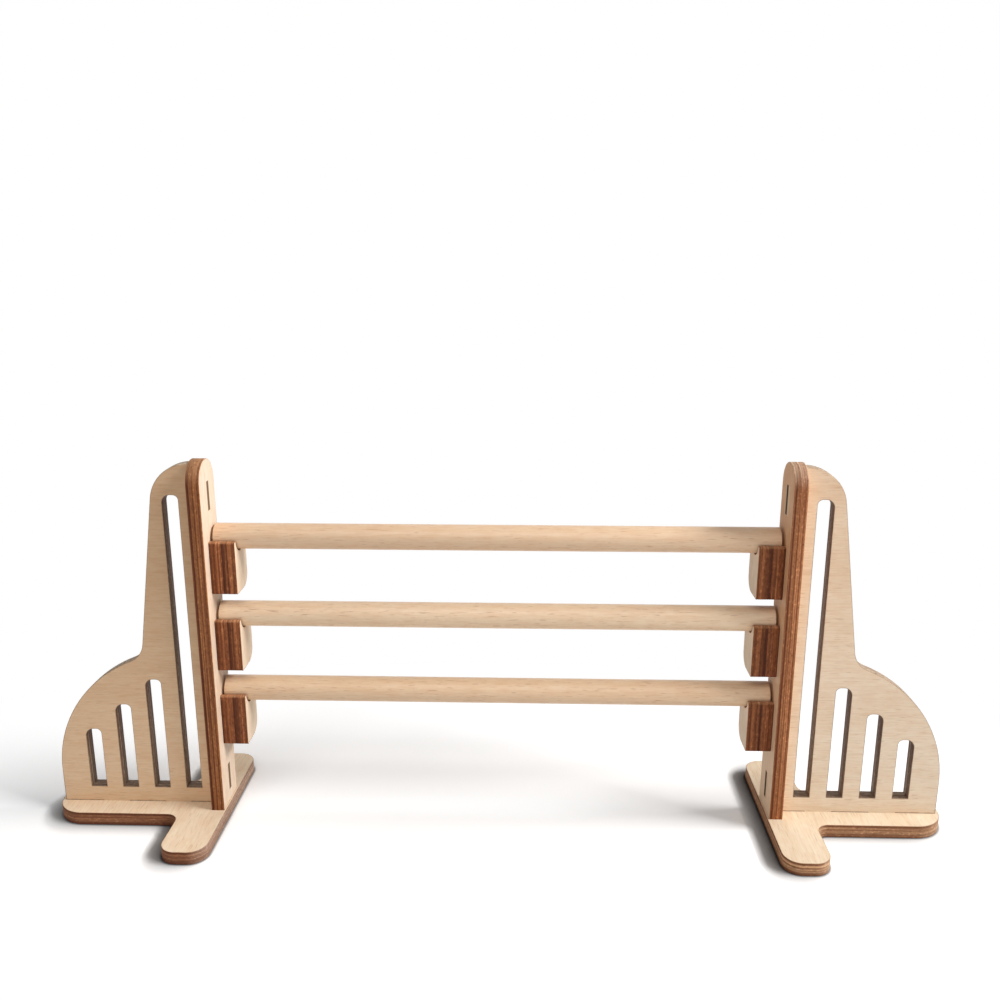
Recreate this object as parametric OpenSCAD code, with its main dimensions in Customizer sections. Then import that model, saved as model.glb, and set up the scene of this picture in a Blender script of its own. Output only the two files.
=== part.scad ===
// Toy show jump: two free-standing plywood wings with three round poles resting in their cups.
// Each wing is a flat base, a slotted side panel, a post and three cups glued up from two plies.
// Millimetres. X runs along the poles, Y from front to back, Z up. The origin is on the ground,
// half way between the wings. A wing is drawn with its post's inner face at x = 0, reaching out
// along +X, and the left wing is the mirror image of the right one.

/* [Stock] */
// Thickness of the plywood sheet
ply_t = 3; // [2.4:0.1:4]
// Diameter of the round poles
pole_d = 5.8; // [5:0.1:7]
// Play all round a tab in its mortise
tab_play = 0.1; // [0.05:0.01:0.2]

/* [Poles] */
// Length of each pole
pole_len = 125.7; // [90:0.1:180]
// Gap between each end of a pole and the post beside it
pole_end_gap = 0.6; // [0.2:0.1:1.5]
// Bevel round each end of a pole
pole_bevel = 0.3; // [0.1:0.05:0.6]
// Height of the bottom pole's axis above the ground
pole_base_z = 31.1; // [28:0.1:42]
// Height from one pole's axis to the next
pole_pitch = 18.5; // [18:0.05:24]
// Distance of the poles and their cups behind the middle of the post
pole_set_back = 2.2; // [0:0.1:3]

/* [Cups] */
// Thickness of each cup ply
cup_ply_t = 2.9; // [2.4:0.1:4]
// Wood under the notch of a cup
cup_floor = 9.4; // [6:0.05:10]
// Gap between a resting pole and the floor of its notch
seat_gap = 0.3; // [0.1:0.05:0.5]
// Extra radius of the notch over the pole
notch_play = 0.25; // [0.1:0.05:0.6]
// Thickness of the cup's front and back lips, level with the notch's centre
lip_t = 1.05; // [0.6:0.05:2]
// Drop from the pole's axis to the top of the lips
lip_drop = 0.4; // [0.3:0.05:1.5]
// Rounding of the outer edge of each lip
lip_r = 0.5; // [0.2:0.05:0.5]
// Rounding of a cup's front lower corner
cup_front_r = 0.5; // [0.2:0.1:2]
// Rounding of a cup's back lower corner
cup_back_r = 3.3; // [1:0.1:5]

/* [Post] */
// Width of the post from front to back
post_w = 10; // [9:0.1:14]
// Rise of the post's round top above the top pole's axis
post_rise = 18.1; // [14:0.1:30]

/* [Side panel] */
// Reach of the panel out from the post
panel_w = 36.25; // [34:0.05:44]
// Step down from the top of the post to the top of the panel
panel_step = 0.8; // [0.5:0.1:3]
// Height of the straight outer edge above the base
skirt_h = 8; // [5:0.1:12]
// Radius of the rounded lower part
bulge_r = 30; // [27:0.1:32]
// Width of the tower at its top, before the corner is rounded
tower_top_w = 8.25; // [8:0.05:10]
// Width of the tower at the crown of the rounded part
tower_foot_w = 14.45; // [13:0.05:16]
// Rounding of the tower's outer top corner
tower_r = 9; // [5:0.1:9]
// Fillet where the tower meets the rounded part
shoulder_r = 5.2; // [1.5:0.1:6]
// Height of the side and bottom tabs along the panel's edge
tab_len = 6.6; // [4:0.1:8]
// Wood above the upper side tab
tab_above = 4.3; // [3:0.1:6]
// Wood below the lower side tab
tab_below = 2.7; // [2:0.1:6]
// Distance from the post to each bottom tab
bottom_tabs = [5.8, 20.6]; // [4:0.1:26]

/* [Slots] */
// Width of each slot in the panel
slot_w = 3.6; // [2.5:0.1:4.2]
// Wood between the post and the first slot
slot_first = 3.15; // [2.5:0.05:3.6]
// Distance from one slot to the next
slot_pitch = 7.6; // [6.5:0.1:7.8]
// Least wood between the last slot and the panel's outer edge
slot_rim = 4; // [3:0.1:6]
// Wood below the slots
slot_sill = 3.8; // [2.5:0.1:6]
// Wood between the panel's top and the tall slot
tall_slot_drop = 7.1; // [6:0.1:12]
// Drop from the crown of the rounded part to the top of the second slot
slot_drop = 6.6; // [5:0.1:8]
// Fall from the top of one short slot to the next
slot_fall = 6.35; // [6:0.05:7]
// Rounding of each slot's inner top corner
slot_inner_r = 1.2; // [0.3:0.1:1.5]
// Rounding of each slot's outer top corner
slot_outer_r = 1.8; // [0.5:0.1:2.2]

/* [Base] */
// Length of the foot from front to back
foot_len = 43.4; // [34:0.1:60]
// Width of the foot
foot_w = 10.5; // [8:0.1:14]
// Reach of the foot past the post's inner face
foot_reach = 0.4; // [0.1:0.05:2]
// Width of the arm under the panel
arm_w = 14; // [10:0.1:18]
// Reach of the arm past the panel's outer edge
arm_over = 0.95; // [0.2:0.05:3]
// Rounding of the foot's corners
base_r = 4; // [2:0.1:4.5]
// Fillet in the corners between foot and arm
base_fillet = 2.8; // [1:0.1:4]

/* [Hidden] */
$fn = 96;
// Overshoot of a cutting shape past the surface that it cuts
over = 1;

pole_r = pole_d / 2;
span = pole_len + 2 * pole_end_gap;
pole_z = [for (level = [0 : 2]) pole_base_z + level * pole_pitch];

notch_r = pole_r + notch_play;
cup_depth = 2 * (notch_r + lip_t);
notch_floor = -pole_r - seat_gap;

post_top = pole_z[2] + post_rise;
panel_top = post_top - panel_step;
tab_bottoms = [ply_t + tab_below, panel_top - tab_above - tab_len];

// The rounded part is an arc about this centre, in the panel's own plane
bulge_c = [panel_w - bulge_r, ply_t + skirt_h];
crown = bulge_c[1] + bulge_r;
// The tower's outer edge leans in by this angle as it rises
lean = atan((tower_foot_w - tower_top_w) / (panel_top - crown));
edge_up = [-sin(lean), cos(lean)];
edge_out = [cos(lean), sin(lean)];
tower_corner = [tower_top_w, panel_top];

// As many slots as fit beside each other, the first one tall and the others falling away
slot_count = 1 + floor((panel_w - slot_rim - slot_first - slot_w) / slot_pitch);
function slot_top(i) = i == 0 ? panel_top - tall_slot_drop : crown - slot_drop - (i - 1) * slot_fall;

LEVELS = ["bottom", "middle", "top"];

// The sliver between a square corner at the origin and its rounding, for wood in the +X +Y quarter
module corner(r) {
    difference() {
        translate([-over, -over]) square(r + over);
        translate([r, r]) circle(r);
    }
}

// Stands a drawing of the X and Z directions up as a sheet centred on Y = 0
module sheet_xz() {
    rotate([90, 0, 0]) linear_extrude(ply_t, center = true) children();
}

// Stands a drawing of the Y and Z directions up as a sheet that reaches out from x = 0
module sheet_yz(thickness) {
    rotate([90, 0, 90]) linear_extrude(thickness) children();
}

// A rectangle from the low to the high corner
module box2d(low, high) {
    translate(low) square(high - low);
}

// Puts a wing in its place: the right one as drawn, the left one mirrored
module place_wing(side) {
    mirror([side == "left" ? 1 : 0, 0, 0]) translate([span / 2, 0, 0]) children();
}

// Flat base: a foot from front to back and a round-ended arm out under the panel
module base() {
    color("burlywood") linear_extrude(ply_t) difference() {
        base_outline();
        for (x = bottom_tabs)
            box2d([ply_t + x - tab_play, -ply_t / 2 - tab_play],
                  [ply_t + x + tab_len + tab_play, ply_t / 2 + tab_play]);
    }
}

module base_outline() {
    foot_out = foot_w - foot_reach;
    arm_end = ply_t + panel_w + arm_over;
    arm_r = arm_w / 2;
    difference() {
        union() {
            box2d([-foot_reach, -foot_len / 2], [foot_out, foot_len / 2]);
            box2d([foot_out - over, -arm_r], [arm_end - arm_r, arm_r]);
            translate([arm_end - arm_r, 0]) circle(arm_r);
            for (back = [0, 1])
                mirror([0, back]) translate([foot_out, arm_r]) corner(base_fillet);
        }
        for (back = [0, 1]) mirror([0, back]) {
            translate([-foot_reach, -foot_len / 2]) corner(base_r);
            translate([foot_out, -foot_len / 2]) mirror([1, 0]) corner(base_r);
        }
    }
}

// Side panel: a tall tower beside the post and a rounded lower part, with slots and tabs
module panel() {
    color("tan") translate([ply_t, 0, 0]) sheet_xz() difference() {
        union() {
            panel_outline();
            for (z = tab_bottoms) box2d([-ply_t, z], [over, z + tab_len]);
            for (x = bottom_tabs) box2d([x, 0], [x + tab_len, ply_t + over]);
        }
        for (i = [0 : slot_count - 1])
            translate([slot_first + i * slot_pitch, ply_t + slot_sill])
                slot(slot_top(i) - ply_t - slot_sill);
    }
}

module panel_outline() {
    difference() {
        union() {
            polygon([[0, ply_t], [tower_foot_w, ply_t], [tower_foot_w, crown],
                     tower_corner, [0, panel_top]]);
            box2d([0, ply_t], [panel_w, bulge_c[1]]);
            intersection() {
                translate(bulge_c) circle(bulge_r, $fn = 2 * $fn);
                box2d([0, ply_t], [panel_w, crown]);
            }
            shoulder_fillet();
        }
        tower_rounding();
    }
}

// Wood in the corner between the tower's leaning edge and the rounded part
module shoulder_fillet() {
    foot = [tower_foot_w, crown];
    across = edge_out * (foot - bulge_c) + shoulder_r;
    along = sqrt(pow(bulge_r + shoulder_r, 2) - across * across);
    centre = bulge_c + across * edge_out + along * edge_up;
    inward = (bulge_c - centre) / norm(bulge_c - centre);
    reach = 2 * shoulder_r;
    difference() {
        polygon([centre, centre - reach * edge_out, centre + reach * inward]);
        translate(centre) circle(shoulder_r);
    }
}

// The sliver outside the rounding of the tower's outer top corner
module tower_rounding() {
    tangent = tower_r * tan((90 - lean) / 2);
    centre = tower_corner + [-tangent, -tower_r];
    difference() {
        polygon([centre, centre + [0, tower_r + over], tower_corner + over * [1, 1],
                 centre + (tower_r + over) * edge_out]);
        translate(centre) circle(tower_r);
    }
}

// One upright slot with square lower corners and rounded upper ones
module slot(h) {
    difference() {
        square([slot_w, h]);
        translate([0, h]) mirror([0, 1]) corner(slot_inner_r);
        translate([slot_w, h]) mirror([1, 0]) mirror([0, 1]) corner(slot_outer_r);
    }
}

// Post: a narrow plate with a round top and two mortises for the panel's side tabs
module post() {
    color("wheat") sheet_yz(ply_t) difference() {
        union() {
            box2d([-post_w / 2, ply_t], [post_w / 2, post_top - post_w / 2]);
            translate([0, post_top - post_w / 2]) circle(post_w / 2);
        }
        for (z = tab_bottoms)
            box2d([-ply_t / 2 - tab_play, z - tab_play],
                  [ply_t / 2 + tab_play, z + tab_len + tab_play]);
    }
}

// One of the two plies of a cup: layer 1 lies on the post, layer 2 on layer 1
module cup_ply(level, layer) {
    color(layer == 1 ? "sienna" : "peru")
        translate([-layer * cup_ply_t, pole_set_back, pole_z[level]])
            sheet_yz(cup_ply_t) cup_outline();
}

// Outline of a cup about the axis of its pole
module cup_outline() {
    half = cup_depth / 2;
    bottom = notch_floor - cup_floor;
    difference() {
        box2d([-half, bottom], [half, -lip_drop]);
        translate([0, notch_floor + notch_r]) circle(notch_r);
        for (back = [0, 1]) mirror([back, 0]) {
            translate([-half, bottom]) corner(back == 1 ? cup_back_r : cup_front_r);
            translate([-half, -lip_drop]) mirror([0, 1]) corner(lip_r);
        }
    }
}

// Round pole with bevelled ends, lying along X
module pole(level) {
    half = pole_len / 2;
    color("moccasin") translate([0, pole_set_back, pole_z[level]]) rotate([0, 90, 0])
        rotate_extrude()
            polygon([[0, -half], [pole_r - pole_bevel, -half], [pole_r, -half + pole_bevel],
                     [pole_r, half - pole_bevel], [pole_r - pole_bevel, half], [0, half]]);
}

for (side = ["left", "right"]) {
    place_wing(side) base();
    place_wing(side) panel();
    place_wing(side) post();
    for (level = [0 : 2]) {
        cup = str(side, "_", LEVELS[level], "_cup_");
        place_wing(side) cup_ply(level, 1);
        place_wing(side) cup_ply(level, 2);
    }
}
for (level = [0 : 2])
    pole(level);
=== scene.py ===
"""Toy show jump: the finish of its plywood wings and dowel poles, and the studio that shows them."""

import math
from collections import namedtuple

import bmesh
import bpy
from bpy.props import FloatProperty, FloatVectorProperty, IntProperty, PointerProperty
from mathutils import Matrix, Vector
from mathutils.geometry import tessellate_polygon


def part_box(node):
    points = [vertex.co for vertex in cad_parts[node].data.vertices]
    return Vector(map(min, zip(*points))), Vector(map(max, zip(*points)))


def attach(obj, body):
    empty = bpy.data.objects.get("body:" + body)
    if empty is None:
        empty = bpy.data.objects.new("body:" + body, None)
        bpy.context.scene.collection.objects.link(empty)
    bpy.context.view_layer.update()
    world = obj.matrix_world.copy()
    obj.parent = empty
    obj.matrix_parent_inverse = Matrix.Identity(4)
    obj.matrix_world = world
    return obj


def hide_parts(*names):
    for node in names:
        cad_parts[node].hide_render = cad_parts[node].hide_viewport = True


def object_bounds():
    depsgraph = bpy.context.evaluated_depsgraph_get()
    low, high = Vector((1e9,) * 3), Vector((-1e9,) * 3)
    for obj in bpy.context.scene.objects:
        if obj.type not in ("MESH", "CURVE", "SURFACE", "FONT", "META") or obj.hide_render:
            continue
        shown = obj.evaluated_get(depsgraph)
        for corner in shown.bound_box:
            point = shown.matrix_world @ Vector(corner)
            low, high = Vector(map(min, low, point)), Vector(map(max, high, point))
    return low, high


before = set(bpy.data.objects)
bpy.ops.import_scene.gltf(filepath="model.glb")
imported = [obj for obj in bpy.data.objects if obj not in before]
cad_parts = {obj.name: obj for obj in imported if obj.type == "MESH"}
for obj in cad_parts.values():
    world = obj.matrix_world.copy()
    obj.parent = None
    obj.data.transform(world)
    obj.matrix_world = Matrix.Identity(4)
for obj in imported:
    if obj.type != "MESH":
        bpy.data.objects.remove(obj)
CAD_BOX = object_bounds()

bl_info = {
    "name": "Toy Show Jump",
    "version": (1, 0, 0),
    "blender": (4, 5, 0),
    "location": "3D View > Sidebar > Show Jump",
    "description": "Dresses a toy show jump in laser-cut plywood and round dowel",
    "category": "Add Mesh",
}

MM = 0.001
X, Y, Z = 0, 1, 2
SIDES = ("left", "right")
LEVELS = ("bottom", "middle", "top")
CUP_LAYERS = ("outer", "inner")

# The ways from which cut edges take painted light, turning paler where they face it, and the share of that
# painted light in a slot, held back there as painted shade
LIT_FROM_ABOVE = Vector((0, 0, 1))
LIT_FROM_RIGHT = Vector((1, 0, 0))
SLOT_PAINTED_LIGHT = 0.5

# The axis that runs through the thickness of each kind of sheet
BASE_AXIS, PANEL_AXIS, POST_AXIS, CUP_AXIS = Z, Y, X, X

# Points closer than this are one point
MERGE_GAP = 0.001 * MM
# A sheet's rim is plain where it comes this close to the piece that it is joined to
JOINT_SLACK = 0.25 * MM
# Length along an outline over which a plain rim turns into a worked one
JOINT_RUN_OUT = 0.4 * MM
# Rows of facets round a rim
RIM_ROWS = 3
# A wall's facets that meet at less than this angle are shaded as one round wall
ROUND_ANGLE = math.radians(35)
# A face whose normal has this share along an axis looks that way
SQUARE_ON = 0.99

# A sheet's materials: its faces are the first, its cut edges the second and its tab ends the third
EDGE_SLOT, TAB_SLOT = 1, 2

WHITE = (1.0, 1.0, 1.0, 1.0)
FLOOR_SIDES = 96
# Width in millimetres of the frame that the lens is given for
FRAME_WIDTH = 36.0
NEAREST_VIEW = 1 * MM


def colour_property(name, description, default):
    """A colour that the user can change."""
    return FloatVectorProperty(name=name, description=description, default=default,
                               subtype="COLOR", size=3, min=0.0, max=1.0)


def size_property(name, description, millimetres):
    """A length that the user can change, with its default in millimetres."""
    return FloatProperty(name=name, description=description, default=millimetres * MM,
                         min=0.0, precision=5, subtype="DISTANCE", unit="LENGTH")


def place_property(name, description, millimetres):
    """A point that the user can change, with its default in millimetres."""
    return FloatVectorProperty(name=name, description=description, size=3, precision=5,
                               default=[value * MM for value in millimetres],
                               subtype="TRANSLATION", unit="LENGTH")


def watts_property(name, description, default):
    """A lamp's power that the user can change."""
    return FloatProperty(name=name, description=description, default=default, min=0.0, unit="POWER")


def share_property(name, description, default):
    """A share from 0 to 1 that the user can change."""
    return FloatProperty(name=name, description=description, default=default,
                         min=0.0, max=1.0, subtype="FACTOR")


class SheetWork(bpy.types.PropertyGroup):
    """How the laser leaves the sheet's rims, walls and borders."""

    rim: size_property("Rim rounding", "Rounding of every cut rim", 0.1)
    scorch_reach: size_property("Scorch reach", "Width of the browned border along a cut", 0.3)
    glue_share: share_property("Glue line", "Depth of a glue line as a share of the sheet", 0.15)
    glue_fill: size_property("Glue fill", "Width of the play round a tab that glue fills", 0.09)
    groove_depth: size_property("Groove depth", "Depth of the groove burnt at a glue line", 0.04)
    groove_width: size_property("Groove width", "Half the width of that groove", 0.07)


class GrainSizes(bpy.types.PropertyGroup):
    """Sizes of the wood's figure, fibres and cracks."""

    figure_len: size_property("Figure length", "Length of the broad bands in the wood", 60)
    figure_w: size_property("Figure width", "Width of the broad bands", 5)
    mottle_len: size_property("Mottle length", "Length of the rosy patches in the wood", 4)
    mottle_w: size_property("Mottle width", "Width of the rosy patches", 1.6)
    fibre_len: size_property("Fibre length", "Length of the fine fibres", 5)
    fibre_w: size_property("Fibre width", "Width of the fine fibres", 0.35)
    crack_len: size_property("Crack length", "Length of the short cracks along the grain", 3)
    crack_w: size_property("Crack width", "Width of the short cracks", 0.22)
    streak_len: size_property("Streak length", "Length of the streaks along a cut edge", 36)
    streak_w: size_property("Streak width", "Width of the streaks along a cut edge", 0.28)
    speck: size_property("Speck", "Size of the specks in a cut edge", 0.4)


class WoodColours(bpy.types.PropertyGroup):
    """Colours of the bare wood and of what the laser has browned."""

    # Painted light: the left base is a touch paler than the right, to make up for the shade that its wing
    # casts on its arm
    left_base: colour_property("Left base", "Top and underside of the left base", (0.89, 0.735, 0.545))
    right_base: colour_property("Right base", "Top and underside of the right base", (0.85, 0.725, 0.55))
    # Painted shade: the left panel is a darker copy of the right panel's wood, for the grazing light on that
    # wing. Each panel's top colour is painted shade as well, darkening its front face on the way up
    left_panel: colour_property("Left panel", "Foot of the left panel", (0.80, 0.585, 0.385))
    left_panel_top: colour_property("Left panel, top", "Top of the left panel", (0.63, 0.43, 0.265))
    right_panel: colour_property("Right panel", "Foot of the right panel", (0.89, 0.755, 0.59))
    right_panel_top: colour_property("Right panel, top", "Top of the right panel", (0.89, 0.695, 0.51))
    # Painted light and painted shade: the left post is a pale lit copy and the right post a darker, warmer
    # shaded copy of one wood. The right post's top colour darkens its inner face further on the way up,
    # painted shade as well
    left_post: colour_property("Left post", "Both sides of the left post", (0.84, 0.68, 0.53))
    right_post: colour_property("Right post", "Foot of the right post", (0.88, 0.65, 0.44))
    right_post_top: colour_property("Right post, top", "Top of the right post", (0.79, 0.47, 0.26))
    cup: colour_property("Cup", "Sides of the cups", (0.87, 0.72, 0.55))
    # The poles differ partly in their own tone and partly by painted light: the middle pole is paler for the
    # light on its top, and the top pole darker for the shade on it
    bottom_pole: colour_property("Bottom pole", "Wood of the bottom pole", (0.835, 0.61, 0.405))
    middle_pole: colour_property("Middle pole", "Wood of the middle pole", (0.88, 0.675, 0.47))
    top_pole: colour_property("Top pole", "Wood of the top pole", (0.795, 0.575, 0.385))
    crack: colour_property("Crack", "Cracks in the wood", (0.42, 0.21, 0.11))
    scorch: colour_property("Scorch", "Browned border along a cut", (0.36, 0.17, 0.07))
    # Each piece's pale edge colour is painted light: the cut edge turns to it where it faces the lamp's side,
    # up, or to the right for the bases
    left_base_light: colour_property("Left base edge, light", "Its light plies", (0.27, 0.108, 0.047))
    left_base_dark: colour_property("Left base edge, dark", "Its dark plies", (0.115, 0.031, 0.011))
    left_base_pale: colour_property("Left base edge, pale", "Where it faces right", (0.36, 0.235, 0.165))
    right_base_light: colour_property("Right base edge, light", "Its light plies", (0.42, 0.215, 0.106))
    right_base_dark: colour_property("Right base edge, dark", "Its dark plies", (0.17, 0.06, 0.023))
    right_base_pale: colour_property("Right base edge, pale", "Where it faces right", (0.44, 0.275, 0.165))
    panel_light: colour_property("Panel edge, light", "Light plies in the panels' edges", (0.22, 0.13, 0.085))
    panel_dark: colour_property("Panel edge, dark", "Dark plies in the panels' edges", (0.08, 0.036, 0.018))
    panel_pale: colour_property("Panel edge, pale", "Where the panels' edges face up", (0.48, 0.35, 0.24))
    left_post_light: colour_property("Left post edge, light", "Its light plies", (0.315, 0.114, 0.037))
    left_post_dark: colour_property("Left post edge, dark", "Its dark plies", (0.075, 0.014, 0.003))
    left_post_pale: colour_property("Left post edge, pale", "Where it faces up", (0.42, 0.21, 0.10))
    right_post_light: colour_property("Right post edge, light", "Its light plies", (0.44, 0.165, 0.062))
    right_post_dark: colour_property("Right post edge, dark", "Its dark plies", (0.12, 0.028, 0.007))
    right_post_pale: colour_property("Right post edge, pale", "Where it faces up", (0.62, 0.42, 0.28))
    cup_light: colour_property("Cup edge, light", "Light plies in the cups' edges", (0.33, 0.108, 0.036))
    cup_dark: colour_property("Cup edge, dark", "Dark plies in the cups' edges", (0.066, 0.013, 0.003))
    cup_pale: colour_property("Cup edge, pale", "Where the cups' edges face up", (0.45, 0.21, 0.10))
    # Tab cores: painted shadow of the gap round each tab, drawn as a dark core; the right one is darker
    # still, painted shade of the right wing
    left_tab: colour_property("Left tab core", "Dark ply in the ends of its tabs", (0.17, 0.10, 0.05))
    right_tab: colour_property("Right tab core", "Dark ply in the ends of its tabs", (0.05, 0.022, 0.007))


class DowelSizes(bpy.types.PropertyGroup):
    """Make of the round poles."""

    bevel: size_property("End rounding", "Rounding of each end", 0.12)
    sides: IntProperty(name="Sides", description="Facets round a pole", default=96, min=12)
    rows: IntProperty(name="Rows", description="Rows of facets in each rounded end", default=5, min=2)


class StageSettings(bpy.types.PropertyGroup):
    """Camera, lamps and floor."""

    lens: FloatProperty(name="Lens", description="Focal length on a 36 mm frame",
                        default=34.905, subtype="DISTANCE_CAMERA", unit="CAMERA")
    eye: place_property("Eye", "Place of the camera", (7.1016, -205.4009, 129.9482))
    tilt: FloatProperty(name="Tilt", description="Angle of the view below level",
                        default=math.radians(14.3495), subtype="ANGLE", unit="ROTATION")
    turn: FloatProperty(name="Turn", description="Angle of the view to the left of straight ahead",
                        default=math.radians(1.6773), subtype="ANGLE", unit="ROTATION")
    key_place: place_property("Key place", "Place of the lamp on the right", (1461, -205, 1152))
    key_width: size_property("Key width", "Width of the lamp on the right", 1000)
    key_height: size_property("Key height", "Height of the lamp on the right", 440)
    key_watts: watts_property("Key watts", "Power of the lamp on the right", 38.0)
    fill_place: place_property("Fill place", "Place of the lamp in front", (-60, -650, 800))
    fill_width: size_property("Fill width", "Width of the lamp in front", 700)
    fill_height: size_property("Fill height", "Height of the lamp in front", 400)
    fill_watts: watts_property("Fill watts", "Power of the lamp in front", 2.6)
    ambient: share_property("Ambient", "Level of the even light all round", 0.2)
    floor_tone: share_property("Floor tone", "Paleness of the floor", 0.8)
    floor_gain: FloatProperty(name="Floor gain", default=1.45,
                              description="How much paler the camera sees the floor")
    # Painted shade on the floor: how far and how strongly occlusion beside the wood, and along the line where
    # it meets the floor, darkens the floor as the camera sees it
    contact_reach: size_property("Contact reach", "Reach of the shade beside wood on the floor", 5)
    contact_power: FloatProperty(name="Contact power", description="Strength of that shade", default=2.0)
    seam_reach: size_property("Seam reach", "Reach of the dark line where wood meets the floor", 0.7)
    seam_power: FloatProperty(name="Seam power", description="Strength of that dark line", default=2.2)
    floor_oval: place_property("Floor oval", "Half sizes of the oval the floor fades round", (120, 55, 100))
    floor_near: FloatProperty(name="Near floor", default=0.75,
                              description="Share of the oval where the floor starts to fade")
    floor_far: FloatProperty(name="Far floor", default=1.6,
                             description="Share of the oval where the floor is white")
    floor_size: size_property("Floor size", "Radius of the floor", 1600)


class JumpSettings(bpy.types.PropertyGroup):
    """Everything about the jump that a user would change."""

    sheet: PointerProperty(type=SheetWork)
    grain: PointerProperty(type=GrainSizes)
    colours: PointerProperty(type=WoodColours)
    dowel: PointerProperty(type=DowelSizes)
    stage: PointerProperty(type=StageSettings)


def settings():
    """The scene's own settings for the jump."""
    return bpy.context.scene.show_jump


def rgba(colour):
    """A colour property with full cover, as a socket takes it."""
    return (*colour, 1.0)


class Nodes:
    """Short calls that add nodes to a tree and link them."""

    def __init__(self, tree):
        self.tree = tree

    def add(self, kind, inputs=None, **options):
        """A new node with its options set and its inputs fed."""
        node = self.tree.nodes.new(kind)
        for name, value in options.items():
            setattr(node, name, value)
        for socket, value in (inputs or {}).items():
            self.feed(node.inputs[socket], value)
        return node

    def feed(self, socket, value):
        """Links an output to the socket, or sets the socket to a plain value."""
        if isinstance(value, bpy.types.NodeSocket):
            self.tree.links.new(value, socket)
        else:
            socket.default_value = value

    def maths(self, operation, a, b=0.0):
        """The result of one sum."""
        return self.add("ShaderNodeMath", {0: a, 1: b}, operation=operation).outputs[0]

    def vector(self, x=0.0, y=0.0, z=0.0):
        """A vector made of its parts."""
        return self.add("ShaderNodeCombineXYZ", {0: x, 1: y, 2: z}).outputs[0]


# A mark in the wood starts at one value of its noise and is full at another, where it has its strength.
# It multiplies the wood's colour by its tint, or turns it to another colour where it has none.
Mark = namedtuple("Mark", "start full strength tint", defaults=(None,))
BANDS = Mark(0.35, 0.7, 1.0, (0.95, 0.92, 0.89, 1.0))
PATCHES = Mark(0.35, 0.7, 0.8, (0.95, 0.86, 0.80, 1.0))
FIBRES = Mark(0.42, 0.7, 0.6, (0.88, 0.82, 0.76, 1.0))
CRACKS = Mark(0.64, 0.72, 1.0)
GROWTH_RINGS = Mark(0.2, 0.9, 1.0, (0.72, 0.62, 0.5, 1.0))
PORES = Mark(0.5, 0.8, 0.5)
PAINTED_SIDE_LIGHT_MARK = Mark(0.0, 1.0, 0.85)
DARK_STREAKS = Mark(0.52, 0.62, 0.55)
BRIGHT_STREAKS = Mark(0.44, 0.36, 0.85, (1.7, 1.85, 1.95, 1.0))
BRIGHT_SPECKS = Mark(0.58, 0.7, 0.9, (1.6, 1.75, 1.85, 1.0))
DARK_SPECKS = Mark(0.42, 0.3, 0.55)

# A finish: its roughness at the low and the high values of the grain, its shine and its depth of relief
Finish = namedtuple("Finish", "smooth rough shine relief")
VENEER_FINISH = Finish(0.52, 0.68, 0.25, 0.02 * MM)
TAB_FINISH = Finish(0.52, 0.68, 0.05, 0.02 * MM)
CUT_FINISH = Finish(0.55, 0.75, 0.25, 0.04 * MM)
DOWEL_FINISH = Finish(0.36, 0.5, 0.6, 0.03 * MM)
SAWN_FINISH = Finish(0.6, 0.8, 0.25, 0.05 * MM)

# Nearly all values of a noise lie in this span
NOISE_SPAN = (0.2, 0.8)
RELIEF_STRENGTH = 0.6

# How much of the cracks' colour shows in the sheets and in the poles
SHEET_CRACKS, POLE_CRACKS = 0.3, 0.55
# Shares of the jump's height between which the wood turns to its top colour, painted shade that darkens the
# seen face upward
PAINTED_TOP_SHADE_SPAN = (0.2, 0.7)
# Size of the clouds in the scorch and the span of their noise
SMOKE_SIZE = 1.5 * MM
SMOKE_SPAN = (0.3, 0.7)
# Least and most of the scorch's colour in those clouds, and the power by which it fades from the rim
SMOKE_SHARES = (0.1, 0.5)
SCORCH_POWER = 1.5
# The plies in a cut edge wander by this share of the sheet, over about this length
PLY_WANDER = 0.03
PLY_WANDER_LENGTH = 6 * MM
# Growth rings and pores in a sawn end
RING_SCALE, RING_DISTORTION = 260.0, 2.0
PORE_SIZE = 0.3 * MM

# How light the cut edge of a sheet is at shares of its depth, from 0 for its dark colour to 1 for its light
BASE_PLIES = ((0.0, 0.0), (0.12, 0.0), (0.22, 0.5), (0.4, 1.0), (0.52, 0.95), (0.6, 0.45), (0.68, 0.9),
              (0.78, 1.0), (0.84, 0.4), (0.9, 0.0), (0.96, 0.1), (1.0, 0.6))
SHEET_PLIES = ((0.0, 0.7), (0.05, 0.6), (0.09, 0.0), (0.18, 0.0), (0.24, 0.8), (0.3, 1.0), (0.36, 0.55),
               (0.41, 1.0), (0.46, 0.3), (0.51, 0.3), (0.55, 0.95), (0.62, 1.0), (0.67, 0.5), (0.73, 1.0),
               (0.79, 0.3), (0.84, 0.25), (0.9, 0.9), (1.0, 1.0))
# The same for the two plies of a cup, from the side of the poles to the post
CUP_PLIES = ((0.0, 1.0), (0.04, 0.7), (0.09, 0.25), (0.18, 1.0), (0.27, 0.7), (0.33, 0.2), (0.38, 0.45),
             (0.45, 0.1), (0.51, 0.0), (0.56, 0.75), (0.65, 0.45), (0.73, 0.9), (0.81, 0.3), (0.88, 0.6),
             (0.96, 0.2), (1.0, 0.0))
# Where a tab's end is darkened, as shares of its depth: painted shadow of the gap round the tab, drawn as the
# dark core of the sheet
TAB_CORE_SHADE = ((0.4, 0.0), (0.46, 1.0), (0.84, 1.0), (0.9, 0.0))


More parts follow.
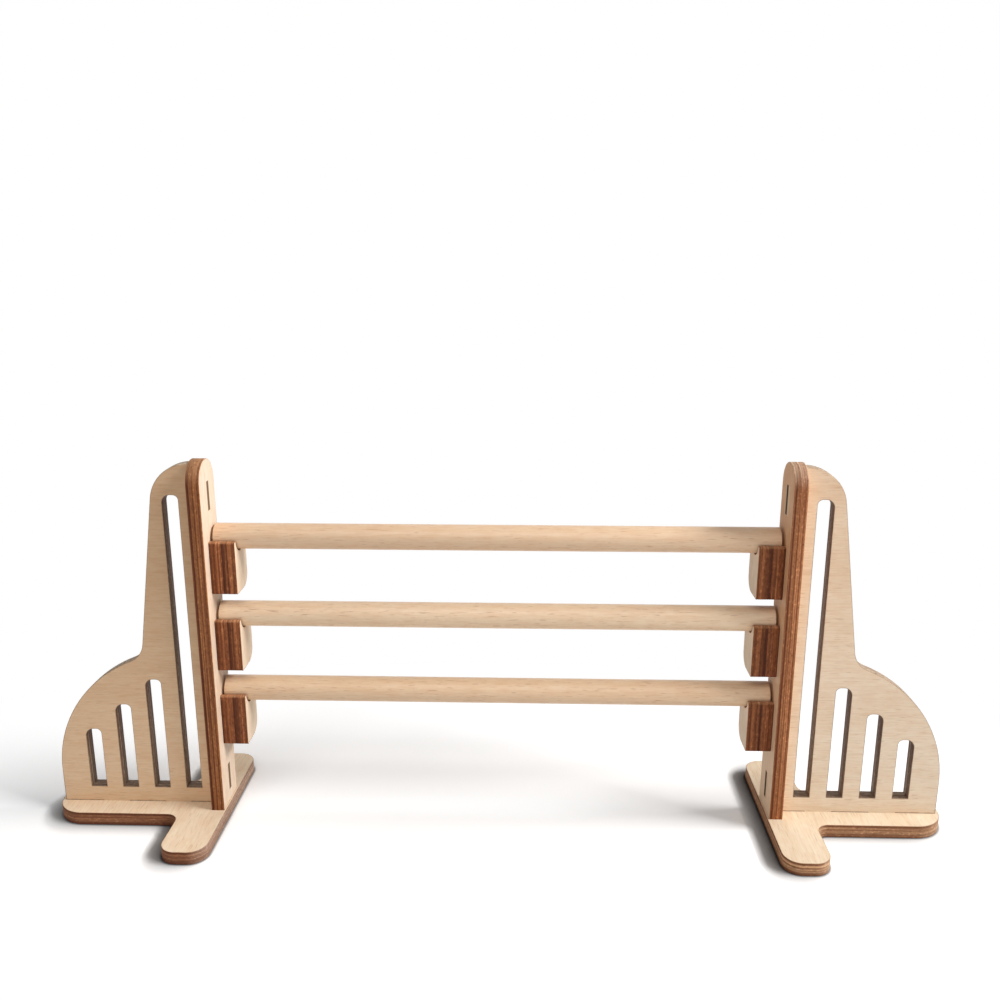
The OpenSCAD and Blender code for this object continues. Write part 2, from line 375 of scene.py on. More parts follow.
class Surface(Nodes):
    """The shader tree of one material, with the patterns that the woods share."""

    def __init__(self, name):
        self.material = bpy.data.materials.new(name)
        self.material.use_nodes = True
        super().__init__(self.material.node_tree)
        self.tree.nodes.clear()
        self.place = self.add("ShaderNodeTexCoord").outputs["Object"]

    def noise(self, lengths, detail=2.0, roughness=0.5):
        """Noise whose features have these lengths along X, Y and Z."""
        scale = [1.0 / length for length in lengths]
        stretched = self.add("ShaderNodeMapping", {"Vector": self.place, "Scale": scale})
        return self.add("ShaderNodeTexNoise", {
            "Vector": stretched.outputs[0], "Scale": 1.0, "Detail": detail, "Roughness": roughness,
        }).outputs[0]

    def grain(self, axis, length, width, detail=2.0, roughness=0.5):
        """Noise drawn out along one axis, as wood grain is."""
        lengths = [width] * 3
        lengths[axis] = length
        return self.noise(lengths, detail, roughness)

    def remap(self, value, low, high, to_low=0.0, to_high=1.0):
        """A value moved from one span to another, and held within it."""
        return self.add("ShaderNodeMapRange", {
            "Value": value, "From Min": low, "From Max": high, "To Min": to_low, "To Max": to_high,
        }).outputs[0]

    def mix(self, share, first, second, blend="MIX"):
        """The first colour with that share of the second."""
        return self.add("ShaderNodeMix", {0: share, 6: first, 7: second},
                        data_type="RGBA", blend_type=blend).outputs[2]

    def share(self, noise, mark):
        """How strongly a mark shows."""
        return self.remap(noise, mark.start, mark.full, 0.0, mark.strength)

    def tint(self, colour, noise, mark):
        """The colour with a mark of the mark's own tint."""
        return self.mix(self.share(noise, mark), colour, mark.tint, "MULTIPLY")

    def stain(self, colour, noise, mark, stain):
        """The colour with a mark in the colour of a stain."""
        return self.mix(self.share(noise, mark), colour, rgba(stain))

    def ramp(self, value, stops):
        """Colours at places along a value, given as (place, colour)."""
        node = self.add("ShaderNodeValToRGB", {"Fac": value})
        elements = node.color_ramp.elements
        while len(elements) < len(stops):
            elements.new(0.5)
        for element, (place, colour) in zip(elements, stops):
            element.position = place
            element.color = colour
        return node.outputs[0]

    def attribute(self, name):
        """A number that the mesh holds at each point."""
        return self.add("ShaderNodeAttribute", attribute_name=name).outputs["Fac"]

    def coordinate(self, axis):
        """The place along one axis."""
        return self.add("ShaderNodeSeparateXYZ", {0: self.place}).outputs[axis]

    def wood(self, colour, grain, height, finish):
        """Ends the tree in wood with that finish. The grain sets its roughness and the height its relief."""
        bump = self.add("ShaderNodeBump", {
            "Strength": RELIEF_STRENGTH, "Distance": finish.relief, "Height": height})
        shader = self.add("ShaderNodeBsdfPrincipled", {
            "Base Color": colour, "Roughness": self.remap(grain, *NOISE_SPAN, finish.smooth, finish.rough),
            "Specular IOR Level": finish.shine, "Normal": bump.outputs[0],
        })
        self.output(shader)
        return self.material

    def output(self, shader):
        """Makes a shader the surface of the material."""
        self.add("ShaderNodeOutputMaterial", {"Surface": shader.outputs[0]})


def bare_wood(surface, colour, axis, cracks=SHEET_CRACKS):
    """Bare wood of that colour with its grain along the axis: its colour, its fibres and its height."""
    sizes = settings().grain
    figure = surface.grain(axis, sizes.figure_len, sizes.figure_w)
    mottle = surface.grain(axis, sizes.mottle_len, sizes.mottle_w, detail=4.0, roughness=0.65)
    fibre = surface.grain(axis, sizes.fibre_len, sizes.fibre_w, roughness=0.6)
    crack = surface.share(surface.grain(axis, sizes.crack_len, sizes.crack_w, detail=1.0), CRACKS)
    wood = surface.tint(colour, figure, BANDS)
    wood = surface.tint(wood, mottle, PATCHES)
    wood = surface.tint(wood, fibre, FIBRES)
    wood = surface.mix(surface.maths("MULTIPLY", crack, cracks), wood, rgba(settings().colours.crack))
    return wood, fibre, surface.maths("SUBTRACT", fibre, crack)


def veneer(name, colour, axis, painted_top_shade=None):
    """Bare face of the sheet with a scorched border along its cuts.

    With a top colour, the wood of the sheet's first face turns to it on the way up the jump: painted shade on
    the face that is seen.
    """
    surface = Surface(name)
    tone = rgba(colour)
    if painted_top_shade is not None:
        low, high = (share * CAD_BOX[1][Z] for share in PAINTED_TOP_SHADE_SPAN)
        on_first_face = surface.maths("SUBTRACT", 1.0, surface.attribute("ply_depth"))
        share = surface.maths("MULTIPLY", surface.remap(surface.coordinate(Z), low, high), on_first_face)
        tone = surface.mix(share, tone, rgba(painted_top_shade))
    wood, fibre, height = bare_wood(surface, tone, axis)
    smoke = surface.noise([SMOKE_SIZE] * 3, detail=3.0)
    burnt = surface.maths("POWER", surface.attribute("scorch"), SCORCH_POWER)
    burnt = surface.maths("MULTIPLY", burnt, surface.remap(smoke, *SMOKE_SPAN, *SMOKE_SHARES))
    wood = surface.mix(burnt, wood, rgba(settings().colours.scorch))
    return surface.wood(wood, fibre, height, VENEER_FINISH)


def edge_shades(piece):
    """The light, dark and pale colours of a piece's cut edges."""
    colours = settings().colours
    return [Vector(getattr(colours, f"{piece}_{shade}")) for shade in ("light", "dark", "pale")]


def cut_edge(name, axis, shades, plies, span=None):
    """Browned laser cut across the plies, with specks and streaks along them.

    Of its light, dark and pale shades it turns to the pale one where the sheet says so: painted light
    on the sides that face the lamp. The depth comes from the sheet itself or, for sheets glued
    together, from the span of their distances from the middle of the jump.
    """
    surface = Surface(name)
    sizes = settings().grain
    light, dark, pale = shades
    along = [sizes.streak_len] * 3
    along[axis] = sizes.streak_w
    across = [2.0 * sizes.speck] * 3
    across[axis] = sizes.speck
    streak = surface.noise(along, detail=3.0, roughness=0.6)
    speck = surface.noise(across)
    wander = surface.remap(surface.noise([PLY_WANDER_LENGTH] * 3), 0.0, 1.0, -PLY_WANDER, PLY_WANDER)
    depth = surface.attribute("ply_depth")
    if span:
        depth = surface.remap(surface.maths("ABSOLUTE", surface.coordinate(axis)), *span)
        shift = surface.remap(surface.attribute("tone"), 0.0, 1.0, -PLY_WANDER, PLY_WANDER)
        wander = surface.maths("ADD", wander, shift)
    depth = surface.maths("ADD", depth, wander)
    wood = surface.ramp(depth, [(place, rgba(dark.lerp(light, share))) for place, share in plies])
    # Painted light: the edge turns pale where it faces the lamp's side
    wood = surface.stain(wood, surface.attribute("painted_side_light"), PAINTED_SIDE_LIGHT_MARK, pale)
    wood = surface.stain(wood, streak, DARK_STREAKS, dark)
    wood = surface.tint(wood, streak, BRIGHT_STREAKS)
    wood = surface.tint(wood, speck, BRIGHT_SPECKS)
    wood = surface.stain(wood, speck, DARK_SPECKS, dark)
    return surface.wood(wood, streak, surface.maths("ADD", streak, speck), CUT_FINISH)


def tab_end(name, colour, core_shade_colour):
    """Sanded end of a tab: pale wood in its post's colour, with a dark line that is painted shadow of the gap
    round the tab, drawn as the dark core of the sheet.
    """
    surface = Surface(name)
    wood, fibre, height = bare_wood(surface, rgba(colour), Z)
    core = surface.ramp(surface.attribute("ply_depth"),
                        [(place, (level, level, level, 1.0)) for place, level in TAB_CORE_SHADE])
    wood = surface.mix(core, wood, rgba(core_shade_colour))
    return surface.wood(wood, fibre, height, TAB_FINISH)


def dowel_round(name, colour):
    """Sanded round of a pole with its grain along the length."""
    surface = Surface(name)
    wood, fibre, height = bare_wood(surface, rgba(colour), X, POLE_CRACKS)
    return surface.wood(wood, fibre, height, DOWEL_FINISH)


def dowel_end(name, colour):
    """Sawn end of a pole with its growth rings and pores."""
    surface = Surface(name)
    rings = surface.add("ShaderNodeTexWave", {
        "Vector": surface.place, "Scale": RING_SCALE, "Distortion": RING_DISTORTION, "Detail": 2.0,
    }, wave_type="RINGS", rings_direction="X").outputs[1]
    pores = surface.noise([PORE_SIZE] * 3, detail=3.0)
    wood = surface.tint(rgba(colour), rings, GROWTH_RINGS)
    wood = surface.stain(wood, pores, PORES, settings().colours.crack)
    return surface.wood(wood, pores, pores, SAWN_FINISH)


def outlines(node, axis):
    """Outlines of the node's face that looks along the axis, each with the wood on its left."""
    bm = bmesh.new()
    bm.from_mesh(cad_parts[node].data)
    bmesh.ops.remove_doubles(bm, verts=bm.verts, dist=MERGE_GAP)
    bm.normal_update()
    follows = {}
    for face in bm.faces:
        if face.normal[axis] > SQUARE_ON:
            for corner in face.loops:
                if any(abs(other.normal[axis]) < SQUARE_ON for other in corner.edge.link_faces):
                    follows[corner.vert] = corner.link_loop_next.vert
    found = []
    while follows:
        outline = []
        vert = next(iter(follows))
        while vert in follows:
            outline.append(vert.co.copy())
            vert = follows.pop(vert)
        found.append(outline)
    bm.free()
    if not found:
        raise RuntimeError(f"{node} has no flat face to take an outline from")
    return found


def in_boxes(point, boxes):
    """Whether a point lies in one of the boxes, or close to it."""
    return any(all(low[i] - JOINT_SLACK < point[i] < high[i] + JOINT_SLACK for i in range(3))
               for low, high in boxes)


def marked_outline(outline, joints):
    """The points of an outline, each with whether it lies in the box of a joined piece.

    Where that changes, a point is added so that the rim changes over a short length.
    """
    marked = []
    for here, after in zip(outline, outline[1:] + outline[:1]):
        joined = in_boxes(here, joints)
        marked.append((here, joined))
        run = after - here
        if joined != in_boxes(after, joints) and run.length > 2 * JOINT_RUN_OUT:
            step = run.normalized() * JOINT_RUN_OUT
            marked.append((here + step if joined else after - step, False))
    return marked


def steps_inward(points, axis):
    """For each point of an outline, the step into the wood that moves both its edges by one."""
    up = Vector((0, 0, 0))
    up[axis] = 1.0
    steps = []
    for before, here, after in zip(points[-1:] + points[:-1], points, points[1:] + points[:1]):
        first = up.cross((here - before).normalized())
        second = up.cross((after - here).normalized())
        steps.append((first + second) / (1.0 + first.dot(second)))
    return steps


def wall_rows(thickness):
    """Rows of a wall from one face of the sheet to the other, each as its inset and its depth."""
    work = settings().sheet
    rows = [(work.scorch_reach, 0.0)]
    for row in range(RIM_ROWS + 1):
        turn = math.pi / 2 * row / RIM_ROWS
        rows.append((work.rim * (1.0 - math.sin(turn)), work.rim * (1.0 - math.cos(turn))))
    glue = work.glue_share * thickness
    rows += [(0.0, glue - work.groove_width), (work.groove_depth, glue), (0.0, glue + work.groove_width)]
    return rows + [(inset, thickness - depth) for inset, depth in reversed(rows)]


def close_faces(bm, rings, axis):
    """Fills both faces of a sheet between the walls that follow its outlines."""
    for row, way in ((0, 1.0), (-1, -1.0)):
        borders = [[column[row] for column in columns] for columns in rings]
        verts = [vert for border in borders for vert in border]
        for corners in tessellate_polygon([[vert.co for vert in border] for border in borders]):
            face = bm.faces.new([verts[corner] for corner in corners])
            face.normal_update()
            if face.normal[axis] * way < 0.0:
                face.normal_flip()


def cut_sheet(name, node, axis, materials, joints=(), fill=0.0, shaded_seams=(), painted_light_way=LIT_FROM_ABOVE, end_plane=None):
    """A piece of sheet as the laser leaves it: round rims, glue lines and scorched borders.

    The materials are those of the faces, the cut edges and, where there is an end plane, of the
    tab ends that lie in that plane of X. The rim is plain in the boxes of the joints, and comes
    forward there by the fill, and its border is twice as dark in the boxes of shaded_seams, real
    scorch with painted shade of the seam. The cut edges take painted light, growing paler the more
    they face painted_light_way, less so in a slot, where painted shade holds it back.
    """
    low, high = (corner[axis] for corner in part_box(node))
    rows = wall_rows(high - low)
    bm = bmesh.new()
    scorch = bm.verts.layers.float.new("scorch")
    ply_depth = bm.verts.layers.float.new("ply_depth")
    painted_side_light = bm.verts.layers.float.new("painted_side_light")
    cut = bm.faces.layers.int.new("cut")
    rings = []
    for outline in outlines(node, axis):
        marked = marked_outline(outline, joints)
        points = [point for point, joined in marked]
        is_hole = sum(a.cross(b)[axis] for a, b in zip(points, points[1:] + points[:1])) < 0.0
        columns = []
        for (point, joined), step in zip(marked, steps_inward(points, axis)):
            # Painted light by the way the edge faces, halved in a slot as painted shade
            pale = max(0.0, -step.normalized().dot(painted_light_way)) * (SLOT_PAINTED_LIGHT if is_hole else 1.0)
            column = []
            for row, (inset, depth) in enumerate(rows):
                inside = row in (0, len(rows) - 1)
                place = point + step * (-fill if joined and not inside else inset)
                place[axis] = high - depth
                vert = bm.verts.new(place)
                # Twice the scorch in shaded_seams: real browning with painted shade of the seam gap on top
                vert[scorch] = 0.0 if inside or joined else 1.0 + in_boxes(point, shaded_seams)
                vert[ply_depth] = 1.0 - depth / (high - low)
                vert[painted_side_light] = pale
                column.append(vert)
            columns.append(column)
        for i, first in enumerate(columns):
            second = columns[(i + 1) % len(columns)]
            ends = (points[i], points[(i + 1) % len(points)])
            is_end = end_plane is not None and all(abs(end.x - end_plane) < MERGE_GAP for end in ends)
            for row in range(len(rows) - 1):
                face = bm.faces.new((first[row], first[row + 1], second[row + 1], second[row]))
                is_cut = 0 < row < len(rows) - 2
                face[cut] = int(is_cut)
                face.smooth = is_cut
                if is_cut:
                    face.material_index = TAB_SLOT if is_end else EDGE_SLOT
        rings.append(columns)
    close_faces(bm, rings, axis)
    mesh = bpy.data.meshes.new(name)
    bm.to_mesh(mesh)
    bm.free()
    mesh.set_sharp_from_angle(angle=ROUND_ANGLE)
    for material in materials:
        mesh.materials.append(material)
    return new_piece(name, mesh)


def new_piece(name, mesh):
    """An object at the origin with its place in its mesh."""
    piece = bpy.data.objects.new(name, mesh)
    bpy.context.scene.collection.objects.link(piece)
    return piece


def settle(piece, body, slot, *nodes):
    """Lets a finished piece ride on its body in place of its solids."""
    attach(piece, body)
    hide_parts(*nodes)


class NodeShape(Nodes):
    """A Geometry Nodes tree with named inputs."""

    def __init__(self, name, inputs):
        super().__init__(bpy.data.node_groups.new(name, "GeometryNodeTree"))
        face = self.tree.interface
        face.new_socket("Geometry", in_out="INPUT", socket_type="NodeSocketGeometry")
        for label, kind in inputs.items():
            face.new_socket(label, in_out="INPUT", socket_type=kind)
        face.new_socket("Geometry", in_out="OUTPUT", socket_type="NodeSocketGeometry")
        self.given = self.add("NodeGroupInput").outputs
        self.result = self.add("NodeGroupOutput").inputs

    def apply(self, piece, values):
        """Runs the tree on a piece with these values and leaves the result as a plain mesh."""
        modifier = piece.modifiers.new(self.tree.name, "NODES")
        modifier.node_group = self.tree
        for item in self.tree.interface.items_tree:
            if item.in_out == "INPUT" and item.name in values:
                modifier[item.identifier] = values[item.name]
        graph = bpy.context.evaluated_depsgraph_get()
        mesh = bpy.data.meshes.new_from_object(
            piece.evaluated_get(graph), preserve_all_data_layers=True, depsgraph=graph)
        piece.modifiers.clear()
        if not mesh.polygons:
            raise RuntimeError(f"{self.tree.name} made nothing of {piece.name}")
        before = piece.data
        piece.data = mesh
        bpy.data.meshes.remove(before)
        mesh.name = piece.name


def cup_stack_tree():
    """Repeats one cup ply as the layers of a cup, and the cup at every level."""
    tree = NodeShape("Cup stack", {
        "Layers": "NodeSocketInt", "Layer step": "NodeSocketFloat",
        "Levels": "NodeSocketInt", "Level step": "NodeSocketFloat", "Seed": "NodeSocketInt",
        "Face material": "NodeSocketMaterial", "Edge material": "NodeSocketMaterial",
    })
    given = tree.given
    layers = tree.add("GeometryNodeMeshLine", {
        "Count": given["Layers"], "Offset": tree.vector(x=given["Layer step"])})
    cup = tree.add("GeometryNodeInstanceOnPoints", {
        "Points": layers.outputs[0], "Instance": given["Geometry"]})
    levels = tree.add("GeometryNodeMeshLine", {
        "Count": given["Levels"], "Offset": tree.vector(z=given["Level step"])})
    cups = tree.add("GeometryNodeInstanceOnPoints", {
        "Points": levels.outputs[0], "Instance": cup.outputs[0]})
    real = tree.add("GeometryNodeRealizeInstances", {"Geometry": cups.outputs[0]})
    island = tree.add("GeometryNodeInputMeshIsland")
    chance = tree.add("FunctionNodeRandomValue", {"ID": island.outputs[0], "Seed": given["Seed"]})
    toned = tree.add("GeometryNodeStoreNamedAttribute", {
        "Geometry": real.outputs[0], "Name": "tone", "Value": chance.outputs[1]})
    faces = tree.add("GeometryNodeSetMaterial", {
        "Geometry": toned.outputs[0], "Material": given["Face material"]})
    cut = tree.add("GeometryNodeInputNamedAttribute", {"Name": "cut"}, data_type="INT")
    edges = tree.add("GeometryNodeSetMaterial", {
        "Geometry": faces.outputs[0], "Selection": cut.outputs[0], "Material": given["Edge material"]})
    tree.feed(tree.result[0], edges.outputs[0])
    return tree


def dowel_tree():
    """A straight dowel along X with rounded ends, lying at its set-back and height."""
    tree = NodeShape("Dowel", {
        "Length": "NodeSocketFloat", "Diameter": "NodeSocketFloat", "End rounding": "NodeSocketFloat",
        "Set-back": "NodeSocketFloat", "Height": "NodeSocketFloat",
        "Sides": "NodeSocketInt", "Rows": "NodeSocketInt",
        "Round material": "NodeSocketMaterial", "End material": "NodeSocketMaterial",
    })
    given = tree.given
    half = tree.maths("MULTIPLY", given["Length"], 0.5)
    axis = tree.add("GeometryNodeCurvePrimitiveLine", {
        "Start": tree.vector(tree.maths("MULTIPLY", half, -1.0), given["Set-back"], given["Height"]),
        "End": tree.vector(half, given["Set-back"], given["Height"])})
    points = tree.add("GeometryNodeResampleCurve", {
        "Curve": axis.outputs[0], "Count": tree.maths("MULTIPLY", given["Rows"], 2.0)})
    # Each end's rows turn through a quarter circle, from the flat end to the round of the dowel
    index = tree.add("GeometryNodeInputIndex").outputs[0]
    last = tree.maths("SUBTRACT", tree.maths("MULTIPLY", given["Rows"], 2.0), 1.0)
    row = tree.maths("MINIMUM", index, tree.maths("SUBTRACT", last, index))
    turn = tree.maths("DIVIDE", row, tree.maths("SUBTRACT", given["Rows"], 1.0))
    turn = tree.maths("MULTIPLY", turn, math.pi / 2)
    inset = tree.maths("MULTIPLY", given["End rounding"],
                       tree.maths("SUBTRACT", 1.0, tree.maths("COSINE", turn)))
    drop = tree.maths("MULTIPLY", given["End rounding"],
                      tree.maths("SUBTRACT", 1.0, tree.maths("SINE", turn)))
    far_end = tree.maths("GREATER_THAN", index, tree.maths("SUBTRACT", given["Rows"], 0.5))
    sign = tree.maths("SUBTRACT", tree.maths("MULTIPLY", far_end, 2.0), 1.0)
    along = tree.maths("MULTIPLY", sign, tree.maths("SUBTRACT", half, inset))
    rows = tree.add("GeometryNodeSetPosition", {
        "Geometry": points.outputs[0],
        "Position": tree.vector(along, given["Set-back"], given["Height"])})
    radius = tree.maths("SUBTRACT", tree.maths("MULTIPLY", given["Diameter"], 0.5), drop)
    ring = tree.add("GeometryNodeCurvePrimitiveCircle", {"Resolution": given["Sides"], "Radius": 1.0})
    solid = tree.add("GeometryNodeCurveToMesh", {
        "Curve": rows.outputs[0], "Profile Curve": ring.outputs[0], "Scale": radius, "Fill Caps": True})
    real = tree.add("GeometryNodeRealizeInstances", {"Geometry": solid.outputs[0]})
    normal = tree.add("ShaderNodeSeparateXYZ", {0: tree.add("GeometryNodeInputNormal").outputs[0]})
    is_end = tree.maths("GREATER_THAN", tree.maths("ABSOLUTE", normal.outputs[0]), SQUARE_ON)
    barrel = tree.add("GeometryNodeSetMaterial", {
        "Geometry": real.outputs[0], "Material": given["Round material"]})
    ends = tree.add("GeometryNodeSetMaterial", {
        "Geometry": barrel.outputs[0], "Selection": is_end, "Material": given["End material"]})
    tree.feed(tree.result[0], ends.outputs[0])
    return tree


class SHOWJUMP_OT_bases(bpy.types.Operator):
    """Make the two flat bases"""

    bl_idname = "showjump.bases"
    bl_label = "Bases"

    def execute(self, context):
        colours = settings().colours
        for side in SIDES:
            node = f"{side}_base"
            materials = [veneer(f"{side} base veneer", getattr(colours, node), Y),
                         cut_edge(f"{side} base cut edge", BASE_AXIS, edge_shades(node), BASE_PLIES)]
            piece = cut_sheet(f"{node}_sheet", node, BASE_AXIS, materials, painted_light_way=LIT_FROM_RIGHT,
                              joints=[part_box(f"{side}_panel")], fill=settings().sheet.glue_fill)
            settle(piece, f"{side}_wing", "base_ply", node)
        return {"FINISHED"}


class SHOWJUMP_OT_panels(bpy.types.Operator):
    """Make the two slotted side panels"""

    bl_idname = "showjump.panels"
    bl_label = "Panels"

    def execute(self, context):
        colours = settings().colours
        edge = cut_edge("panel cut edge", PANEL_AXIS, edge_shades("panel"), SHEET_PLIES)
        for side in SIDES:
            node = f"{side}_panel"
            low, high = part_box(node)
            inner = high.x if side == "left" else low.x
            materials = [veneer(f"{side} panel veneer", getattr(colours, node), X,
                                getattr(colours, f"{node}_top")),
                         edge,
                         tab_end(f"{side} tab end", getattr(colours, f"{side}_post"),
                                 getattr(colours, f"{side}_tab"))]
            piece = cut_sheet(f"{node}_sheet", node, PANEL_AXIS, materials, end_plane=inner,
                              joints=[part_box(f"{side}_post")], shaded_seams=[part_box(f"{side}_base")])
            settle(piece, f"{side}_wing", "panel_ply", node)
        return {"FINISHED"}


class SHOWJUMP_OT_posts(bpy.types.Operator):
    """Make the two posts"""

    bl_idname = "showjump.posts"
    bl_label = "Posts"

    def execute(self, context):
        colours = settings().colours
        for side in SIDES:
            node = f"{side}_post"
            materials = [veneer(f"{side} post veneer", getattr(colours, node), Z,
                                getattr(colours, f"{node}_top", None)),
                         cut_edge(f"{side} post cut edge", POST_AXIS, edge_shades(node), SHEET_PLIES)]
            piece = cut_sheet(f"{node}_sheet", node, POST_AXIS, materials,
                              joints=[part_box(f"{side}_panel")], fill=settings().sheet.glue_fill)
            settle(piece, f"{side}_wing", "post_ply", node)
        return {"FINISHED"}


class SHOWJUMP_OT_cups(bpy.types.Operator):
    """Make the pole cups of both wings"""

    bl_idname = "showjump.cups"
    bl_label = "Cups"

    def execute(self, context):
        face = veneer("cup veneer", settings().colours.cup, Z)
        span = (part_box("right_top_cup_inner")[0].x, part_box("right_top_cup_outer")[1].x)
        edge = cut_edge("cup cut edge", CUP_AXIS, edge_shades("cup"), CUP_PLIES, span)
        stack = cup_stack_tree()
        for seed, side in enumerate(SIDES):
            nodes = {(level, layer): f"{side}_{level}_cup_{layer}"
                     for level in LEVELS for layer in CUP_LAYERS}
            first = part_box(nodes["bottom", "outer"])[0]
            piece = cut_sheet(f"{side}_cup_stack", nodes["bottom", "outer"], CUP_AXIS, [face, edge])
            stack.apply(piece, {
                "Layers": len(CUP_LAYERS), "Layer step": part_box(nodes["bottom", "inner"])[0].x - first.x,
                "Levels": len(LEVELS), "Level step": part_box(nodes["middle", "outer"])[0].z - first.z,
                "Seed": seed, "Face material": face, "Edge material": edge,
            })
            settle(piece, f"{side}_wing", "cup_ply", *nodes.values())
        return {"FINISHED"}


class SHOWJUMP_OT_poles(bpy.types.Operator):
    """Make the three round poles"""

    bl_idname = "showjump.poles"
    bl_label = "Poles"

    def execute(self, context):
        dowel = settings().dowel
        turned = dowel_tree()
        for level in LEVELS:
            node = f"{level}_pole"
            low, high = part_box(node)
            colour = getattr(settings().colours, node)
            piece = new_piece(f"{node}_dowel", bpy.data.meshes.new(f"{node}_dowel"))
            turned.apply(piece, {
                "Length": high.x - low.x, "Diameter": high.z - low.z, "End rounding": dowel.bevel,
                "Set-back": (low.y + high.y) / 2, "Height": (low.z + high.z) / 2,
                "Sides": dowel.sides, "Rows": dowel.rows,
                "Round material": dowel_round(f"{level} pole round", colour),
                "End material": dowel_end(f"{level} pole end", colour),
            })
            for face in piece.data.polygons:
                face.use_smooth = True
            piece.data.set_sharp_from_angle(angle=ROUND_ANGLE)
            settle(piece, node, "dowel", node)
        return {"FINISHED"}


def direct_view(surface):
    """1 on rays that show a surface as itself: from the camera, a reflection or through glass."""
    path = surface.add("ShaderNodeLightPath").outputs
    seen = surface.maths("MAXIMUM", path["Is Camera Ray"], path["Is Glossy Ray"])
    return surface.maths("MAXIMUM", seen, path["Is Transmission Ray"])


def floor_material(stage):
    """Pale matt floor that keeps shadows, with painted shade beside the wood, and fades to white away from
    the jump.
    """
    surface = Surface("pale floor")
    seen = direct_view(surface)
    shares = surface.add("ShaderNodeVectorMath", {0: surface.place, 1: stage.floor_oval},
                         operation="DIVIDE").outputs[0]
    reach = surface.add("ShaderNodeVectorMath", {0: shares}, operation="LENGTH").outputs["Value"]
    # Painted shade: occlusion beside the wood, tilted toward the key lamp so that it is strongest on the
    # shadow side, and a thin dark line where wood meets the floor, both multiplied into the floor's tone as
    # the camera sees it
    to_key = surface.vector(*Vector(stage.key_place).normalized())
    shade = surface.add("ShaderNodeAmbientOcclusion", {
        "Distance": stage.contact_reach, "Normal": to_key}).outputs["AO"]
    seam = surface.add("ShaderNodeAmbientOcclusion", {"Distance": stage.seam_reach}).outputs["AO"]
    painted_contact_shade = surface.maths("MULTIPLY", surface.maths("POWER", shade, stage.contact_power),
                            surface.maths("POWER", seam, stage.seam_power))
    paler = surface.maths("MULTIPLY", painted_contact_shade, stage.floor_tone * stage.floor_gain)
    tone = surface.remap(seen, 0.0, 1.0, stage.floor_tone, paler)
    near = surface.add("ShaderNodeBsdfDiffuse", {"Color": surface.vector(tone, tone, tone)})
    white = surface.add("ShaderNodeEmission", {"Color": WHITE, "Strength": 1.0})
    fade = surface.add("ShaderNodeMapRange", {
        "Value": reach, "From Min": stage.floor_near, "From Max": stage.floor_far,
    }, interpolation_type="SMOOTHSTEP").outputs[0]
    surface.output(surface.add("ShaderNodeMixShader", {
        0: surface.maths("MULTIPLY", seen, fade), 1: near.outputs[0], 2: white.outputs[0]}))
    return surface.material


def white_world(level):
    """White behind everything, with even light of this level on the object."""
    world = bpy.data.worlds.new("studio")
    world.use_nodes = True
    nodes = Nodes(world.node_tree)
    nodes.tree.nodes.clear()
    seen = direct_view(nodes)
    even = nodes.add("ShaderNodeBackground", {"Color": WHITE, "Strength": level})
    white = nodes.add("ShaderNodeBackground", {"Color": WHITE, "Strength": 1.0})
    mixed = nodes.add("ShaderNodeMixShader", {0: seen, 1: even.outputs[0], 2: white.outputs[0]})
    nodes.add("ShaderNodeOutputWorld", {"Surface": mixed.outputs[0]})
    return world


def soft_lamp(name, place, width, height, watts):
    """A wide soft lamp that looks at the middle of the jump."""
    lamp = bpy.data.lights.new(name, "AREA")
    lamp.shape = "RECTANGLE"
    lamp.size = width
    lamp.size_y = height
    lamp.energy = watts
    holder = bpy.data.objects.new(name, lamp)
    holder.location = place
    middle = (Vector(CAD_BOX[0]) + Vector(CAD_BOX[1])) / 2
    holder.rotation_euler = (middle - Vector(place)).to_track_quat("-Z", "Y").to_euler()
    bpy.context.scene.collection.objects.link(holder)


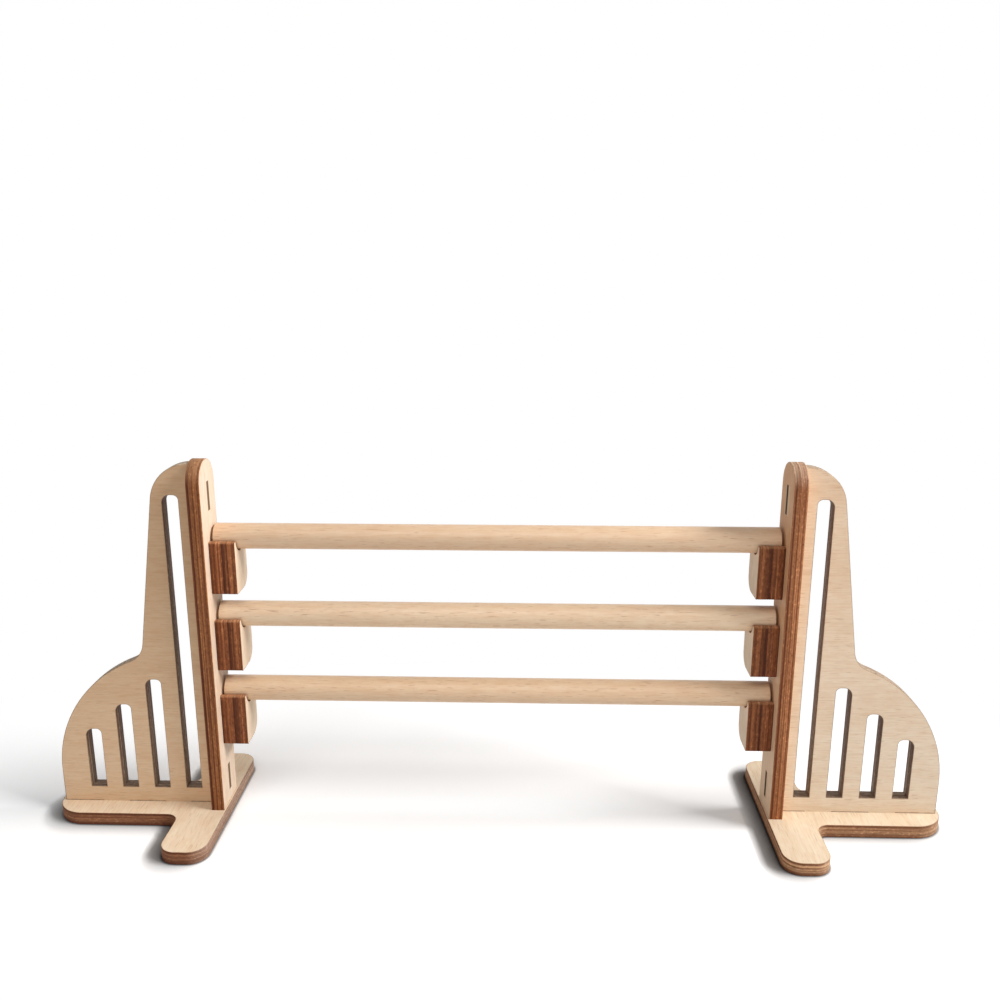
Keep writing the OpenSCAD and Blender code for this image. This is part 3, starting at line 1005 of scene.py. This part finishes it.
class SHOWJUMP_OT_stage(bpy.types.Operator):
    """Set the floor, the light and the camera"""

    bl_idname = "showjump.stage"
    bl_label = "Stage"

    def execute(self, context):
        stage = settings().stage
        scene = context.scene
        bm = bmesh.new()
        bmesh.ops.create_circle(bm, cap_ends=True, segments=FLOOR_SIDES, radius=stage.floor_size)
        mesh = bpy.data.meshes.new("floor")
        bm.to_mesh(mesh)
        bm.free()
        mesh.materials.append(floor_material(stage))
        new_piece("floor", mesh)
        scene.world = white_world(stage.ambient)
        soft_lamp("key lamp", stage.key_place, stage.key_width, stage.key_height, stage.key_watts)
        soft_lamp("fill lamp", stage.fill_place, stage.fill_width, stage.fill_height, stage.fill_watts)
        camera = bpy.data.cameras.new("camera")
        camera.sensor_width = FRAME_WIDTH
        camera.lens = stage.lens
        camera.clip_start = NEAREST_VIEW
        holder = bpy.data.objects.new("camera", camera)
        holder.location = stage.eye
        holder.rotation_euler = (math.pi / 2 - stage.tilt, 0.0, stage.turn)
        scene.collection.objects.link(holder)
        scene.camera = holder
        scene.view_settings.view_transform = "Standard"
        return {"FINISHED"}


OPERATORS = (SHOWJUMP_OT_bases, SHOWJUMP_OT_panels, SHOWJUMP_OT_posts,
             SHOWJUMP_OT_cups, SHOWJUMP_OT_poles, SHOWJUMP_OT_stage)


class SHOWJUMP_PT_pieces(bpy.types.Panel):
    """Lists the jump's pieces in the sidebar"""

    bl_idname = "SHOWJUMP_PT_pieces"
    bl_label = "Show Jump"
    bl_space_type = "VIEW_3D"
    bl_region_type = "UI"
    bl_category = "Show Jump"

    def draw(self, context):
        for operator in OPERATORS:
            self.layout.operator(operator.bl_idname)


CLASSES = (SheetWork, GrainSizes, WoodColours, DowelSizes, StageSettings, JumpSettings,
           *OPERATORS, SHOWJUMP_PT_pieces)


def register():
    """Makes the classes and the scene's settings known to Blender."""
    for cls in CLASSES:
        bpy.utils.register_class(cls)
    bpy.types.Scene.show_jump = PointerProperty(type=JumpSettings)


def unregister():
    """Takes them out again."""
    del bpy.types.Scene.show_jump
    for cls in reversed(CLASSES):
        bpy.utils.unregister_class(cls)


def main():
    """Makes every piece and the stage."""
    register()
    bpy.ops.showjump.bases()
    bpy.ops.showjump.panels()
    bpy.ops.showjump.posts()
    bpy.ops.showjump.cups()
    bpy.ops.showjump.poles()
    bpy.ops.showjump.stage()


if __name__ == "__main__":
    main()
